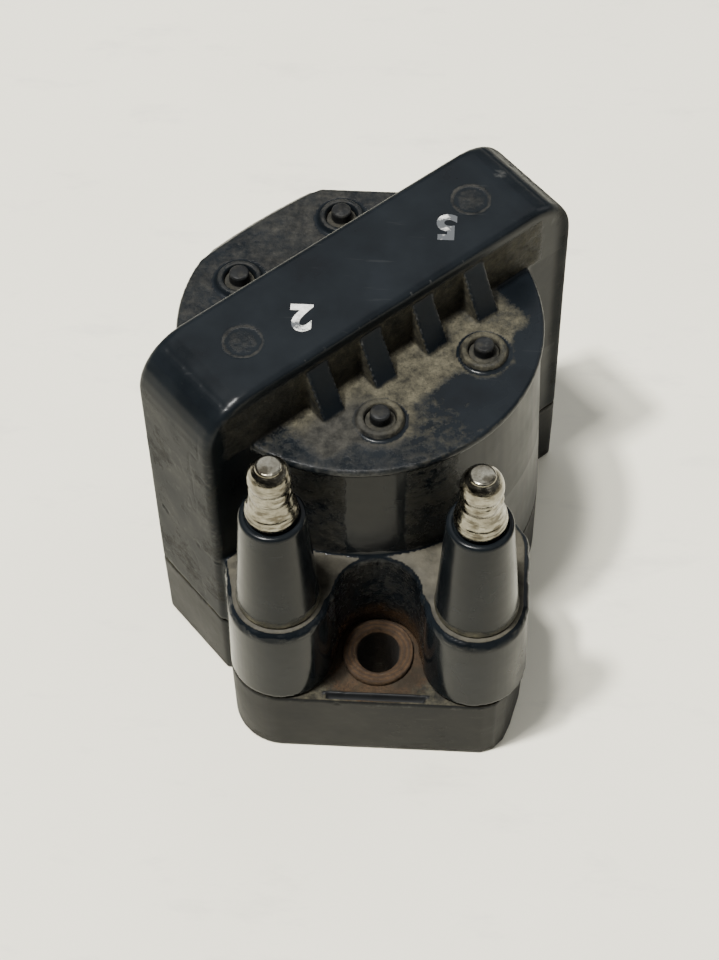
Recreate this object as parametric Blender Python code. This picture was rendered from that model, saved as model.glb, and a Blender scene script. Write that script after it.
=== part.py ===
"""Two-tower ignition coil: overmoulded diagonal closed core, segmented secondary, two mounting bushings.

Metres, +Z up.  The coil stands on the underside of its base tray.  Dimensions below are in
millimetres in a layout frame whose origin lies mid-way between the two towers; every mesh is
moved at the end so that the middle of the overall box's bottom is the origin.
"""
import math

import bmesh
import bpy
from mathutils import Matrix, Vector

MM = 0.001
GAP = 0.3                       # clearance left between touching pieces

# towers and their bosses
TOWER_X = 17.5                  # half the tower pitch
TOWER_TOP_R, TOWER_FOOT_R = 5.79, 7.36
TOWER_SPIGOT_R = 6.4
TOWER_BORE_R = 2.1
Z_SPIGOT = 30.0                 # lower end of a tower inside its boss
Z_TOWER = 62.9                  # top of the tower moulding
BOSS_R, BOSS_FOOT_R = 9.13, 9.5
BOSS_EDGE = 1.2
POCKET_R = 7.6                  # pocket over the front bushing
POCKET_Y = 0.7

# levels
Z_PARTING = 17.0                # top of the base tray
Z_SHOULDER = 37.55              # top of the bosses and of the platform between them
Z_DECK = 65.6
Z_RING = 66.8                   # top of the ring bosses on the deck
Z_PIN = 68.2
Z_BAR = 78.75

# round body: a drafted wall and the deck plate that overhangs it towards the towers
BODY_X, BODY_Y = -4.6, 41.2
BODY_FOOT_R, BODY_HEAD_R = 33.0, 31.5
DECK_X, DECK_Y, DECK_R = -5.0, 39.5, 32.5
DECK_THICKNESS = 1.9
DECK_EDGE = 0.5
FLAT_Y = 70.7                   # flat cut on the rear of the body
SIDE_FLAT_V = 28.5              # flat on the rear of the deck, parallel to the bar
WALL_FLAT_V = 29.3              # the same flat on the wall under it

# diagonal bar, measured along u (its length) and v (across it)
BAR_X, BAR_Y = -5.04, 40.79
BAR_ANGLE = math.radians(42.07)
BAR_LEFT, BAR_RIGHT = -41.0, 40.7
BAR_HALF_WIDTH = 10.0
BAR_END_R = 10.0
BAR_EDGE = 1.3
MARK_U, MARK_R, MARK_DEPTH = 25.1, 3.36, 0.2

# ribs at the foot of the bar
RIB_U = (-17.25, -5.75, 5.75, 17.25)
RIB_WIDTH = 4.5
RIB_REACH = 4.7
RIB_TOP = 75.6

# support pins and the ring bosses round them
PIN_U, PIN_V = 11.6, 20.0
PIN_R = 1.9
RING_R, RING_HOLE_R = 4.1, 2.8

# closed core (a stack of E laminations and an I stack that closes it)
CORE_HALF_LENGTH = 36.2
CORE_HALF_STACK = 7.5
YOKE = 7.0
LEG = 6.5
CENTRE_LEG_HALF = 6.5
Z_CORE_TOP = 74.2
Z_I_CORE = 3.3
SHIM = 0.9

# windings, all turned about the bar's middle
PRIMARY_BOBBIN_R = (10.3, 11.3, 14.6)
PRIMARY_WINDING_R = (11.6, 14.3)
SECONDARY_BOBBIN_R = (15.0, 16.2, 23.4)
SECONDARY_WINDING_R = (16.5, 22.3)
SECTIONS = 6
Z_BOBBIN = (15.3, 61.6)
SECONDARY_RISE = 3.2            # the secondary bobbin's foot above the primary's
FLANGE = 1.2
SECTION_PITCH = (Z_BOBBIN[1] - Z_BOBBIN[0] - SECONDARY_RISE - FLANGE) / SECTIONS
CASE_R = (25.7, 27.2)
Z_CASE = (16.2, 64.0)
CASE_ROOF = 1.6
Z_CLOSURE = (16.4, 17.9)
CAVITY_R = CASE_R[1] + GAP

# leads and contacts
LEAD_R = 0.7
LEAD_Z = 26.5
TUNNEL_R = 1.5
SOCKET_X, SOCKET_Y = 14.6, 0.6
SOCKET_SIZE = (7.4, 5.6)
SOCKET_DEPTH = 11.4
Z_CONTACT = 6.9                 # mouth of the contact inside its socket
STRAP_Z = (12.6, 13.6)
STRAP_WIDTH = 3.0

# bushings
FRONT_BUSHING = (0.0, 0.7)
REAR_BUSHING = (0.0, 77.4)
FRONT_HOLE = (3.85, 0.45)       # radius, half the straight part of the slotted hole
REAR_HOLE = (3.3, 0.0)
BUSHING_R = 5.3
BUSHING_FLANGE_R = 6.4
BUSHING_FLANGE = 1.2
LUG_R = 6.9
Z_LUG = 14.0

ROUND = 72


def uv(u, v):
    """Layout coordinates of a point given along and across the diagonal bar."""
    c, s = math.cos(BAR_ANGLE), math.sin(BAR_ANGLE)
    return BAR_X + u * c - v * s, BAR_Y + u * s + v * c


def to_uv(x, y):
    """The reverse of uv()."""
    c, s = math.cos(BAR_ANGLE), math.sin(BAR_ANGLE)
    x, y = x - BAR_X, y - BAR_Y
    return x * c + y * s, y * c - x * s


def arc(cx, cy, radius, start, end, steps):
    """Points on an arc, both ends included; angles in degrees."""
    points = []
    for i in range(steps + 1):
        a = math.radians(start + (end - start) * i / steps)
        points.append((cx + radius * math.cos(a), cy + radius * math.sin(a)))
    return points


def slot_outline(cx, cy, radius, half_straight, steps=32):
    """A circle stretched along y by a short straight part."""
    half = steps // 2
    upper = arc(cx, cy + half_straight, radius, 0, 180, half)
    lower = arc(cx, cy - half_straight, radius, 180, 360, half)
    if half_straight == 0.0:
        return upper[:-1] + lower[:-1]
    return upper + lower


def add_loft(bm, rings):
    """Close a stack of matching rings of (x, y, z) points into one solid."""
    loops = [[bm.verts.new(Vector(p) * MM) for p in ring] for ring in rings]
    count = len(loops[0])
    for low, high in zip(loops, loops[1:]):
        for i in range(count):
            j = (i + 1) % count
            bm.faces.new((low[i], low[j], high[j], high[i]))
    bm.faces.new(list(reversed(loops[0])))
    bm.faces.new(loops[-1])


def add_prism(bm, outline, z0, z1):
    add_loft(bm, [[(x, y, z) for x, y in outline] for z in (z0, z1)])


def add_box_uv(bm, u0, u1, v0, v1, z0, z1):
    outline = [uv(u0, v0), uv(u1, v0), uv(u1, v1), uv(u0, v1)]
    add_prism(bm, outline, z0, z1)


def add_tube(bm, cx, cy, profile, steps):
    """Turn a closed (radius, z) profile about a vertical axis."""
    rings = []
    for i in range(steps):
        a = 2 * math.pi * i / steps
        rings.append([bm.verts.new(Vector((cx + r * math.cos(a), cy + r * math.sin(a), z)) * MM)
                      for r, z in profile])
    count = len(profile)
    for i in range(steps):
        this, other = rings[i], rings[(i + 1) % steps]
        for k in range(count):
            n = (k + 1) % count
            bm.faces.new((this[k], other[k], other[n], this[n]))


def add_pole_turned(bm, cx, cy, profile, steps):
    """Turn an open (radius, z) profile, closed with flat discs at both ends."""
    add_loft(bm, [[(cx + r * math.cos(2 * math.pi * i / steps),
                    cy + r * math.sin(2 * math.pi * i / steps), z) for i in range(steps)]
                  for r, z in profile])


def add_rod(bm, path, radius, steps=10):
    """A round rod along a path of 3-D points, mitred at the bends."""
    points = [Vector(p) for p in path]
    rings = []
    side = None
    for i, p in enumerate(points):
        before = (p - points[i - 1]).normalized() if i else None
        after = (points[i + 1] - p).normalized() if i + 1 < len(points) else None
        along = ((before or after) + (after or before)).normalized()
        stretch = 1.0 / max(0.3, along.dot(after or before))
        if side is None:
            helper = Vector((0, 0, 1)) if abs(along.z) < 0.9 else Vector((1, 0, 0))
            side = along.cross(helper).normalized()
        side = (side - along * side.dot(along)).normalized()
        other = along.cross(side)
        ring = []
        for k in range(steps):
            a = 2 * math.pi * k / steps
            offset = side * math.cos(a) * radius + other * math.sin(a) * radius
            if before is not None and after is not None:
                bend = (after - before)
                if bend.length > 1e-6:
                    bend.normalize()
                    offset += bend * offset.dot(bend) * (stretch - 1.0)
            ring.append(tuple(p + offset))
        rings.append(ring)
    add_loft(bm, rings)


def new_object(name, fill, colour=None, roughness=0.5, metallic=0.0, cutter=False):
    """Make one mesh object; `fill` adds its geometry to a bmesh."""
    mesh = bpy.data.meshes.new(name)
    bm = bmesh.new()
    fill(bm)
    bmesh.ops.recalc_face_normals(bm, faces=bm.faces[:])
    bmesh.ops.triangulate(bm, faces=[f for f in bm.faces if len(f.verts) > 4])
    bm.to_mesh(mesh)
    bm.free()
    obj = bpy.data.objects.new(name, mesh)
    if cutter:
        cutters.objects.link(obj)
        obj.hide_render = True
        obj.display_type = 'WIRE'
        return obj
    coil.objects.link(obj)
    material = bpy.data.materials.new(name)
    material.use_nodes = True
    shader = material.node_tree.nodes["Principled BSDF"]
    shader.inputs["Base Color"].default_value = (*colour, 1.0)
    shader.inputs["Roughness"].default_value = roughness
    shader.inputs["Metallic"].default_value = metallic
    material.diffuse_color = (*colour, 1.0)
    mesh.materials.append(material)
    return obj


def boolean(target, tool, operation):
    modifier = target.modifiers.new(tool.name, 'BOOLEAN')
    modifier.operation = operation
    modifier.solver = 'EXACT'
    modifier.object = tool


def smooth(obj, degrees=35):
    for polygon in obj.data.polygons:
        polygon.use_smooth = True
    obj.data.set_sharp_from_angle(angle=math.radians(degrees))


# --- housing ---------------------------------------------------------------

def body_ring(cx, cy, radius, flat_y, flat_v, z, steps=ROUND):
    """Outline of the round body: a circle with two rear flats, squared off into the bar."""
    rise = math.degrees(math.asin((flat_y - cy) / radius))
    ring = []
    for x, y in arc(cx, cy, radius, 180 - rise, 405, steps):
        u, v = to_uv(x, y)
        x, y = uv(u, min(v, flat_v))
        ring.append((x, min(y, flat_y)))
    corner_u, _ = to_uv(*ring[0])
    corner = uv(corner_u + 0.4, flat_v)
    ring[0] = (corner[0], min(corner[1], flat_y))
    ring.append((14.0, flat_y))
    return [(x, y, z) for x, y in ring]


def add_body(bm):
    add_loft(bm, [body_ring(BODY_X, BODY_Y, BODY_FOOT_R, FLAT_Y, WALL_FLAT_V + 0.4, Z_PARTING + GAP),
                  body_ring(BODY_X, BODY_Y, BODY_HEAD_R, FLAT_Y - 0.3, WALL_FLAT_V, Z_DECK - 0.9)])


def add_deck(bm):
    rings = []
    for inset, z in ((0.4, Z_DECK - DECK_THICKNESS), (0.0, Z_DECK - DECK_THICKNESS + 0.4),
                     (0.0, Z_DECK - DECK_EDGE), (DECK_EDGE * 0.3, Z_DECK - DECK_EDGE * 0.3),
                     (DECK_EDGE, Z_DECK)):
        rings.append(body_ring(DECK_X, DECK_Y, DECK_R - inset, FLAT_Y - inset,
                               SIDE_FLAT_V - inset, z))
    add_loft(bm, rings)


def bar_ring(inset, v, foot, steps=8):
    """Side outline of the bar at one distance across it."""
    left, right, top = BAR_LEFT + inset, BAR_RIGHT - inset, Z_BAR - inset
    radius = BAR_END_R - inset
    outline = [(left, foot), (right, foot)]
    outline += arc(right - radius, top - radius, radius, 0, 90, steps)
    outline += arc(left + radius, top - radius, radius, 90, 180, steps)
    return [(*uv(u, v), z) for u, z in outline]


def add_bar(bm):
    foot = Z_PARTING + GAP
    rings = []
    for angle in (0, 30, 60, 90):
        a = math.radians(angle)
        rings.append((BAR_EDGE * (1 - math.sin(a)), BAR_HALF_WIDTH - BAR_EDGE * (1 - math.cos(a))))
    add_loft(bm, [bar_ring(inset, v, foot) for inset, v in rings]
             + [bar_ring(inset, -v, foot) for inset, v in reversed(rings)])


def front_outline(inset):
    """Outline of the block that carries the towers, its front pocket included."""
    radius = BOSS_R - inset
    pocket = POCKET_R + inset * 0.35
    side = TOWER_X + radius
    outline = arc(-TOWER_X, 0, radius, 180, 355, 28)
    outline += arc(0, POCKET_Y, pocket, 180, 0, 20)
    outline += arc(TOWER_X, 0, radius, 185, 360, 28)
    outline += [(side, 12.4), (side - 0.5, 14.6), (side - 1.9, 16.6), (20.6, 22.4)]
    outline += [(14.0, 25.0), (-19.0, 22.0), (-27.0, 9.0), (-27.9 + inset * 0.5, 6.9)]
    return outline


def add_front_block(bm):
    foot = Z_PARTING + GAP
    rings = []
    for inset, z in ((BOSS_R - BOSS_FOOT_R, foot), (0.0, Z_SHOULDER - BOSS_EDGE),
                     (BOSS_EDGE * 0.3, Z_SHOULDER - BOSS_EDGE * 0.3), (BOSS_EDGE, Z_SHOULDER)):
        rings.append([(x, y, z) for x, y in front_outline(inset)])
    add_loft(bm, rings)


def add_ribs(bm):
    """Gussets between the deck and both long walls of the bar."""
    for side in (-1, 1):
        inner, outer = side * (BAR_HALF_WIDTH - 1.5), side * (BAR_HALF_WIDTH + RIB_REACH)
        for middle in RIB_U:
            u0, u1 = middle - RIB_WIDTH / 2, middle + RIB_WIDTH / 2
            section = [(inner, 62.5), (outer, 62.5), (outer, Z_DECK + 0.5), (inner, RIB_TOP + 3.0)]
            add_loft(bm, [[(*uv(u, v), z) for v, z in section] for u in (u0, u1)])


def pin_places():
    return [uv(PIN_U * a, PIN_V * b) for a, b in ((-1, -1), (1, -1), (1, 1), (-1, 1))]


def add_ring_bosses(bm):
    for x, y in pin_places():
        add_pole_turned(bm, x, y, [(RING_R + 0.15, Z_DECK - 1.0), (RING_R, Z_RING - 0.35),
                                   (RING_R - 0.35, Z_RING)], 40)


def add_small_voids(bm):
    for x, y in pin_places():
        add_pole_turned(bm, x, y, [(RING_HOLE_R, Z_DECK - 3.0), (RING_HOLE_R, Z_RING - 0.4),
                                   (RING_HOLE_R + 0.6, Z_RING + 0.2)], 32)
    for u in (-MARK_U, MARK_U):
        add_pole_turned(bm, *uv(u, 0), [(MARK_R - 0.2, Z_BAR - MARK_DEPTH),
                                        (MARK_R + 0.2, Z_BAR + MARK_DEPTH)], 40)
    for x in (-TOWER_X, TOWER_X):
        add_pole_turned(bm, x, 0, [(TOWER_SPIGOT_R + GAP, LEAD_Z - 2.0),
                                   (TOWER_SPIGOT_R + GAP, Z_SHOULDER + 1.0)], 40)


def lead_line(side):
    """Unit vector from the winding axis towards one tower, and the distance."""
    dx, dy = side * TOWER_X - BAR_X, -BAR_Y
    length = math.hypot(dx, dy)
    return dx / length, dy / length, length


def add_tunnels(bm):
    for side in (-1, 1):
        x, y, length = lead_line(side)
        path = [(BAR_X + x * (CASE_R[1] - 2.0), BAR_Y + y * (CASE_R[1] - 2.0), LEAD_Z),
                (BAR_X + x * (length - 3.0), BAR_Y + y * (length - 3.0), LEAD_Z)]
        add_rod(bm, path, TUNNEL_R, 16)


def add_cavity(bm):
    add_pole_turned(bm, BAR_X, BAR_Y, [(CAVITY_R, 10.0), (CAVITY_R, Z_CASE[1] + GAP)], ROUND)


def add_core_slot(bm):
    half = CORE_HALF_LENGTH + GAP
    add_box_uv(bm, -half, half, -CORE_HALF_STACK - GAP, CORE_HALF_STACK + GAP, 9.0,
               Z_CORE_TOP + GAP)


def build_housing():
    housing = new_object("housing", add_body, (0.035, 0.04, 0.047), 0.4)
    boolean(housing, new_object("deck_solid", add_deck, cutter=True), 'UNION')
    boolean(housing, new_object("bar_solid", add_bar, cutter=True), 'UNION')
    boolean(housing, new_object("front_solid", add_front_block, cutter=True), 'UNION')
    boolean(housing, new_object("rib_solids", add_ribs, cutter=True), 'UNION')
    boolean(housing, new_object("ring_solids", add_ring_bosses, cutter=True), 'UNION')
    boolean(housing, new_object("case_void", add_cavity, cutter=True), 'DIFFERENCE')
    boolean(housing, new_object("core_void", add_core_slot, cutter=True), 'DIFFERENCE')
    boolean(housing, new_object("small_voids", add_small_voids, cutter=True), 'DIFFERENCE')
    boolean(housing, new_object("lead_voids", add_tunnels, cutter=True), 'DIFFERENCE')
    smooth(housing)


# --- base tray -------------------------------------------------------------

TRAY_INSET = 0.1
TRAY_EDGE = 0.35


def tray_levels():
    return ((TRAY_INSET + TRAY_EDGE, 0.0), (TRAY_INSET, TRAY_EDGE), (0.0, Z_PARTING))


def add_tray_round(bm):
    rings = []
    for inset, z in tray_levels():
        rings.append(body_ring(BODY_X, BODY_Y, BODY_FOOT_R - inset, FLAT_Y - inset,
                               WALL_FLAT_V + 0.4 - inset, z))
    add_loft(bm, rings)


def add_tray_bar(bm):
    rings = []
    for inset, z in tray_levels():
        across, corner = BAR_HALF_WIDTH - inset, 1.3
        right, left = BAR_RIGHT - inset - corner, BAR_LEFT + inset + corner
        outline = []
        for u, sv, start in ((right, 1, 0), (left, 1, 90), (left, -1, 180), (right, -1, 270)):
            outline += arc(u, sv * (across - corner), corner, start, start + 90, 4)
        rings.append([(*uv(u, v), z) for u, v in outline])
    add_loft(bm, rings)


def add_tray_front(bm):
    rings = []
    for inset, z in tray_levels():
        radius = BOSS_FOOT_R - inset
        outline = arc(-TOWER_X, 0, radius, 180, 270, 14)
        outline += [(19.4, -radius), (21.8, 0.9 - radius), (23.7 - inset, -6.4), (24.9 - inset, -3.2),
                    (26.4 - inset, 3.0), (27.0 - inset, 9.0), (27.0 - inset, 12.6),
                    (26.4 - inset, 15.0), (25.0 - inset, 17.0), (20.6, 22.8)]
        outline += [(0.0, 34.0), (-20.0, 22.0), (-27.2 + inset, 9.0), (-28.0 + inset, 6.9)]
        rings.append([(x, y, z) for x, y in outline])
    add_loft(bm, rings)


def add_lug(bm):
    x, y = REAR_BUSHING
    rings = []
    for inset, z in ((0.5, 0.0), (0.0, 0.5), (0.0, Z_LUG - 0.5), (0.5, Z_LUG)):
        outline = [(x - LUG_R + inset, 66.0), (x + LUG_R - inset, 66.0)]
        outline += arc(x, y, LUG_R - inset, 0, 180, 24)
        rings.append([(px, py, z) for px, py in outline])
    add_loft(bm, rings)


def add_tray_core_slot(bm):
    half = CORE_HALF_LENGTH + GAP
    add_box_uv(bm, -half, half, -CORE_HALF_STACK - GAP, CORE_HALF_STACK + GAP, 3.0, 20.0)


def add_tray_well(bm):
    add_pole_turned(bm, BAR_X, BAR_Y, [(CAVITY_R, 10.9), (CAVITY_R, 20.0)], ROUND)


def add_tray_bores(bm):
    for (x, y), (_, straight) in ((FRONT_BUSHING, FRONT_HOLE), (REAR_BUSHING, REAR_HOLE)):
        add_prism(bm, slot_outline(x, y, BUSHING_R + GAP, straight), -1.0, 20.0)
    for side in (-1, 1):
        x0, y0 = side * SOCKET_X, SOCKET_Y
        dx, dy = SOCKET_SIZE[0] / 2, SOCKET_SIZE[1] / 2
        add_loft(bm, [[(x0 - dx - f, y0 - dy - f, z), (x0 + dx + f, y0 - dy - f, z),
                       (x0 + dx + f, y0 + dy + f, z), (x0 - dx - f, y0 + dy + f, z)]
                      for f, z in ((0.8, -0.4), (0.0, 0.8), (0.0, SOCKET_DEPTH))])


def strap_ends(side):
    """Where a primary contact's strap starts over its socket and where it meets the winding."""
    start = (side * SOCKET_X, SOCKET_Y)
    end = uv(side * 4.0, -12.9)
    return start, end


def strap_outline(side, half, before, after):
    (x0, y0), (x1, y1) = strap_ends(side)
    length = math.hypot(x1 - x0, y1 - y0)
    dx, dy = (x1 - x0) / length, (y1 - y0) / length
    nx, ny = -dy * half, dx * half
    x0, y0, x1, y1 = x0 - dx * before, y0 - dy * before, x1 + dx * after, y1 + dy * after
    return [(x0 - nx, y0 - ny), (x1 - nx, y1 - ny), (x1 + nx, y1 + ny), (x0 + nx, y0 + ny)]


def add_strap_channels(bm):
    for side in (-1, 1):
        add_prism(bm, strap_outline(side, STRAP_WIDTH / 2 + 0.4, 1.6, -4.0), SOCKET_DEPTH - 1.0, 20.0)


def add_pocket_step(bm):
    """Shallow recess in the tray's top that leaves a thin lip along the pocket's front."""
    outline = [(-9.0, -7.7), (9.0, -7.7), (9.0, -8.3), (-9.0, -8.3)]
    add_prism(bm, outline, Z_PARTING - 0.9, Z_PARTING + 1.0)


def build_tray():
    tray = new_object("base_tray", add_tray_round, (0.06, 0.062, 0.066), 0.6)
    boolean(tray, new_object("tray_bar_solid", add_tray_bar, cutter=True), 'UNION')
    boolean(tray, new_object("tray_front_solid", add_tray_front, cutter=True), 'UNION')
    boolean(tray, new_object("tray_lug_solid", add_lug, cutter=True), 'UNION')
    boolean(tray, new_object("tray_core_void", add_tray_core_slot, cutter=True), 'DIFFERENCE')
    boolean(tray, new_object("tray_well_void", add_tray_well, cutter=True), 'DIFFERENCE')
    boolean(tray, new_object("tray_bore_voids", add_tray_bores, cutter=True), 'DIFFERENCE')
    boolean(tray, new_object("tray_strap_voids", add_strap_channels, cutter=True), 'DIFFERENCE')
    boolean(tray, new_object("tray_lip_void", add_pocket_step, cutter=True), 'DIFFERENCE')
    smooth(tray)


# --- towers, posts and leads -----------------------------------------------

POST_PROFILE = (
    (1.70, 58.3), (1.70, 63.2), (4.30, 63.2), (4.52, 63.5), (4.55, 64.3), (4.35, 64.9),
    (3.85, 65.6), (3.60, 66.1), (3.62, 66.6), (3.92, 67.1), (3.95, 67.7), (3.45, 68.5),
    (3.42, 69.0), (3.66, 69.5), (3.62, 70.1), (3.20, 70.8), (3.16, 71.6), (3.34, 72.6),
    (3.40, 73.8), (3.32, 74.8), (3.00, 75.8), (2.55, 76.4), (2.00, 76.7))


def build_towers():
    for word, side in (("left", -1), ("right", 1)):
        x = side * TOWER_X
        profile = [(TOWER_BORE_R, Z_SPIGOT), (TOWER_SPIGOT_R, Z_SPIGOT),
                   (TOWER_SPIGOT_R, Z_SHOULDER + GAP), (TOWER_FOOT_R + 0.2, Z_SHOULDER + GAP),
                   (TOWER_FOOT_R, Z_SHOULDER + 1.1), (TOWER_TOP_R, Z_TOWER - 0.4),
                   (TOWER_TOP_R - 0.4, Z_TOWER), (TOWER_BORE_R, Z_TOWER)]
        tower = new_object("tower_" + word, lambda bm, p=profile, x=x: add_tube(bm, x, 0, p, 40),
                           (0.035, 0.04, 0.047), 0.3)
        smooth(tower)
        post = new_object("post_" + word,
                          lambda bm, x=x: add_pole_turned(bm, x, 0, POST_PROFILE, 32),
                          (0.75, 0.73, 0.68), 0.22, 1.0)
        smooth(post, 50)


def build_leads():
    half = (SECTION_PITCH + FLANGE) / 2
    low_section, high_section = Z_BOBBIN[0] + SECONDARY_RISE + half, Z_BOBBIN[1] - half
    for word, side, section_z in (("left", -1, low_section), ("right", 1, high_section)):
        x, y, length = lead_line(side)

        def on_line(distance, z):
            return BAR_X + x * distance, BAR_Y + y * distance, z

        run = (SECONDARY_BOBBIN_R[2] + CASE_R[0]) / 2
        path = [on_line(SECONDARY_WINDING_R[1] + GAP, section_z), on_line(run, section_z),
                on_line(run, LEAD_Z), on_line(length, LEAD_Z), on_line(length, 57.9)]
        lead = new_object("hv_lead_" + word, lambda bm, p=path: add_rod(bm, p, LEAD_R),
                          (0.75, 0.4, 0.2), 0.35, 1.0)
        smooth(lead)


# --- core ------------------------------------------------------------------

def build_core():
    top, yoke = Z_CORE_TOP, Z_CORE_TOP - YOKE
    foot = Z_I_CORE + YOKE + GAP
    outer, inner, centre = CORE_HALF_LENGTH, CORE_HALF_LENGTH - LEG, CENTRE_LEG_HALF
    e_outline = [(-outer, foot), (-inner, foot), (-inner, yoke), (-centre, yoke),
                 (-centre, foot + SHIM + GAP), (centre, foot + SHIM + GAP), (centre, yoke),
                 (inner, yoke), (inner, foot), (outer, foot), (outer, top), (-outer, top)]

    def add_e(bm):
        add_loft(bm, [[(*uv(u, v), z) for u, z in e_outline]
                      for v in (-CORE_HALF_STACK, CORE_HALF_STACK)])

    new_object("core_e", add_e, (0.28, 0.28, 0.29), 0.45, 1.0)
    new_object("core_i", lambda bm: add_box_uv(bm, -outer, outer, -CORE_HALF_STACK,
                                               CORE_HALF_STACK, Z_I_CORE, Z_I_CORE + YOKE),
               (0.28, 0.28, 0.29), 0.45, 1.0)
    new_object("core_shim", lambda bm: add_box_uv(bm, -centre, centre, -CORE_HALF_STACK,
                                                  CORE_HALF_STACK, foot, foot + SHIM),
               (0.62, 0.52, 0.3), 0.7)


# --- windings and case -----------------------------------------------------

def bobbin_profile(inner, outer, flange_r, z0, z1, sections):
    """Closed section of a flanged bobbin, its outside read from the foot up."""
    profile = [(inner, z1), (inner, z0)]
    pitch = (z1 - z0 - FLANGE) / sections
    for i in range(sections + 1):
        z = z0 + i * pitch
        if i:
            profile.append((outer, z))
        profile += [(flange_r, z), (flange_r, z + FLANGE)]
        if i < sections:
            profile.append((outer, z + FLANGE))
    return profile


def build_windings():
    z0, z1 = Z_BOBBIN
    inner, outer, flange = PRIMARY_BOBBIN_R
    bobbin = new_object("primary_bobbin",
                        lambda bm: add_tube(bm, BAR_X, BAR_Y,
                                            bobbin_profile(inner, outer, flange, z0, z1 + 1.4, 1), 40),
                        (0.72, 0.68, 0.58), 0.5)

    def add_notches(bm):
        for side in (-1, 1):
            add_prism(bm, strap_outline_at_end(side, STRAP_WIDTH / 2 + 0.4, 0.9), z0 - 1.0,
                      z0 + FLANGE + 0.4)

    boolean(bobbin, new_object("bobbin_notches", add_notches, cutter=True), 'DIFFERENCE')
    smooth(bobbin)

    r0, r1 = PRIMARY_WINDING_R
    low, high = z0 + FLANGE + GAP, z1 + 1.4 - FLANGE - GAP
    winding = new_object("primary_winding",
                         lambda bm: add_tube(bm, BAR_X, BAR_Y,
                                             [(r0, low), (r1, low), (r1, high), (r0, high)], 40),
                         (0.72, 0.36, 0.14), 0.35, 1.0)
    smooth(winding)

    inner, outer, flange = SECONDARY_BOBBIN_R
    z0 += SECONDARY_RISE
    profile = bobbin_profile(inner, outer, flange, z0, z1, SECTIONS)
    bobbin = new_object("secondary_bobbin",
                        lambda bm: add_tube(bm, BAR_X, BAR_Y, profile, 40), (0.62, 0.6, 0.52), 0.5)
    smooth(bobbin)
    r0, r1 = SECONDARY_WINDING_R
    for i in range(SECTIONS):
        low, high = z0 + i * SECTION_PITCH + FLANGE + GAP, z0 + (i + 1) * SECTION_PITCH - GAP
        section = new_object("secondary_section_%d" % (i + 1),
                             lambda bm, a=low, b=high: add_tube(
                                 bm, BAR_X, BAR_Y, [(r0, a), (r1, a), (r1, b), (r0, b)], 40),
                             (0.62, 0.28, 0.1), 0.4, 1.0)
        smooth(section)


def build_case():
    r0, r1 = CASE_R
    z0, z1 = Z_CASE
    hole = PRIMARY_BOBBIN_R[2] + 0.4
    case = new_object("coil_case",
                      lambda bm: add_tube(bm, BAR_X, BAR_Y,
                                          [(r0, z0), (r1, z0), (r1, z1), (hole, z1),
                                           (hole, z1 - CASE_ROOF), (r0, z1 - CASE_ROOF)], 56),
                      (0.05, 0.05, 0.055), 0.45)

    def add_case_holes(bm):
        for side in (-1, 1):
            x, y, _ = lead_line(side)
            path = [(BAR_X + x * d, BAR_Y + y * d, LEAD_Z) for d in (CASE_R[0] - 0.8, CASE_R[1] + 1.0)]
            add_rod(bm, path, TUNNEL_R - 0.2, 16)

    boolean(case, new_object("case_holes", add_case_holes, cutter=True), 'DIFFERENCE')
    smooth(case)

    inner = PRIMARY_BOBBIN_R[2] + 1.0
    closure = new_object("potting_closure",
                         lambda bm: add_tube(bm, BAR_X, BAR_Y,
                                             [(inner, Z_CLOSURE[0]), (r0 - GAP, Z_CLOSURE[0]),
                                              (r0 - GAP, Z_CLOSURE[1]), (inner, Z_CLOSURE[1])], 48),
                         (0.12, 0.06, 0.03), 0.25)
    smooth(closure)


def build_pins():
    for number, (x, y) in enumerate(pin_places(), 1):
        profile = [(PIN_R + 0.5, Z_CASE[1] + GAP), (PIN_R, Z_CASE[1] + 1.1), (PIN_R, Z_PIN - 0.3),
                   (PIN_R - 0.3, Z_PIN)]
        pin = new_object("support_pin_%d" % number,
                         lambda bm, x=x, y=y, p=profile: add_pole_turned(bm, x, y, p, 24),
                         (0.12, 0.125, 0.13), 0.35)
        smooth(pin)


# --- primary contacts ------------------------------------------------------

def strap_outline_at_end(side, half, reach):
    """Outline of a strap's upturned end, beside the winding."""
    (x0, y0), (x1, y1) = strap_ends(side)
    length = math.hypot(x1 - x0, y1 - y0)
    dx, dy = (x1 - x0) / length, (y1 - y0) / length
    nx, ny = -dy * half, dx * half
    ax, ay, bx, by = x1 - dx * reach, y1 - dy * reach, x1 + dx * reach, y1 + dy * reach
    return [(ax - nx, ay - ny), (bx - nx, by - ny), (bx + nx, by + ny), (ax + nx, ay + ny)]


def build_contacts():
    foot, (low, high), half = Z_BOBBIN[0], STRAP_Z, STRAP_WIDTH / 2
    for word, side in (("positive", -1), ("negative", 1)):
        def add_blade(bm, x=side * SOCKET_X, y=SOCKET_Y):
            outline = [(x - 1.5, y - 0.4), (x + 1.5, y - 0.4), (x + 1.5, y + 0.4), (x - 1.5, y + 0.4)]
            add_prism(bm, outline, Z_CONTACT, high - 0.2)

        def add_strap(bm, side=side):
            (x0, y0), (x1, y1) = strap_ends(side)
            length = math.hypot(x1 - x0, y1 - y0)
            dx, dy = (x1 - x0) / length, (y1 - y0) / length
            section = [(-1.0, low), (length + 0.5, low), (length + 0.5, foot + FLANGE),
                       (length - 0.5, foot + FLANGE), (length - 0.5, high), (-1.0, high)]
            add_loft(bm, [[(x0 + dx * t - dy * w, y0 + dy * t + dx * w, z) for t, z in section]
                          for w in (half, -half)])

        contact = new_object("terminal_" + word, add_blade, (0.8, 0.72, 0.5), 0.3, 1.0)
        boolean(contact, new_object("strap_" + word, add_strap, cutter=True), 'UNION')


# --- bushings --------------------------------------------------------------

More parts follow.
